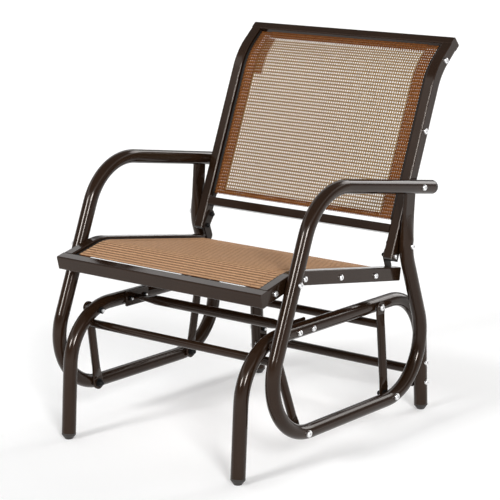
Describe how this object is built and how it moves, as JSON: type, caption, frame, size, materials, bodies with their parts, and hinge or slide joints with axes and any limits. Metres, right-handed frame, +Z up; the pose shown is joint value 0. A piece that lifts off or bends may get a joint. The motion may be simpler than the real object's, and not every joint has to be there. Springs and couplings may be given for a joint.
{
  "type": "glider chair",
  "caption": "Outdoor glider armchair: bent round tube base with swinging hanger links, looped arms and a reclined seat and back of stretched woven mesh on rectangular tube frames.",
  "frame": {"origin": "on the floor, at the middle of the chair's overall width and depth", "axes": "+Z up, the chair faces -Y, +X is on the right of someone facing it"},
  "size_m": [0.6504, 0.7572, 0.8744],
  "materials": {
    "frame_paint": "semi-gloss dark brown powder coat",
    "black_paint": "satin black paint",
    "black_nut": "black oxide",
    "zinc_bolt": "bright zinc plate",
    "plug_plastic": "matt dark brown",
    "seat_mesh": "woven coated yarn, tan",
    "back_mesh": "woven coated yarn, tan"
  },
  "bodies": {
    "base": {"base_bolts": "zinc_bolt", "base_nuts": "black_nut", "base_side_left": "frame_paint", "base_side_right": "frame_paint", "front_cross_tube": "frame_paint", "front_end_plate_left": "frame_paint", "front_end_plate_right": "frame_paint", "front_foot_plug_left": "plug_plastic", "front_foot_plug_right": "plug_plastic", "rear_cross_tube": "frame_paint", "rear_end_plate_left": "frame_paint", "rear_end_plate_right": "frame_paint", "rear_foot_plug_left": "plug_plastic", "rear_foot_plug_right": "plug_plastic", "top_pivot_bolts": "zinc_bolt", "top_pivot_nuts": "black_nut", "top_pivot_washers": "zinc_bolt"},
    "front_yoke": {"front_link_left": "frame_paint", "front_link_right": "frame_paint", "front_yoke_tube": "frame_paint"},
    "rear_yoke": {"rear_link_left": "frame_paint", "rear_link_right": "frame_paint", "rear_yoke_tube": "frame_paint"},
    "chair": {"arm_bolts": "zinc_bolt", "arm_lower_bow_left": "frame_paint", "arm_lower_bow_right": "frame_paint", "arm_plug_left": "plug_plastic", "arm_plug_right": "plug_plastic", "arm_rest_tube_left": "frame_paint", "arm_rest_tube_right": "frame_paint", "arm_upright_left": "frame_paint", "arm_upright_right": "frame_paint", "back_bracket_left": "black_paint", "back_bracket_right": "black_paint", "back_lower_rail": "frame_paint", "back_rail_plugs": "plug_plastic", "back_side_rail_left": "frame_paint", "back_side_rail_right": "frame_paint", "back_sling": "back_mesh", "back_sling_bar_left": "black_paint", "back_sling_bar_right": "black_paint", "back_sling_bolts": "zinc_bolt", "back_top_rail": "frame_paint", "bracket_bolts": "zinc_bolt", "bracket_nuts": "black_nut", "captive_nuts": "black_nut", "lower_pivot_bolts": "zinc_bolt", "lower_pivot_nuts": "black_nut", "lower_pivot_washers": "black_nut", "seat_front_rail": "frame_paint", "seat_rail_plugs": "plug_plastic", "seat_rear_rail": "frame_paint", "seat_side_rail_left": "frame_paint", "seat_side_rail_right": "frame_paint", "seat_sling": "seat_mesh", "seat_sling_bar_left": "black_paint", "seat_sling_bar_right": "black_paint", "seat_sling_bolts": "zinc_bolt", "upright_bolts": "zinc_bolt"}
  },
  "joints": [
    {"name": "front_yoke_swing", "type": "hinge", "parent": "base", "child": "front_yoke", "pos_m": [0, -0.27006, 0.28], "axis": [1, 0, 0], "range_deg": [-15, 15]},
    {"name": "chair_tilt", "type": "hinge", "parent": "front_yoke", "child": "chair", "pos_m": [0, -0.22046, 0.09], "axis": [1, 0, 0], "range_deg": [-17.8, 17.8]},
    {"name": "rear_yoke_swing", "type": "hinge", "parent": "base", "child": "rear_yoke", "pos_m": [0, 0.11724, 0.289], "axis": [1, 0, 0], "range_deg": [-14.8, 14.8]}
  ],
  "couplings": [
    {"joint": "chair_tilt", "follows": "front_yoke_swing", "ratio": -1.1832},
    {"joint": "rear_yoke_swing", "follows": "front_yoke_swing", "ratio": 0.9806}
  ]
}
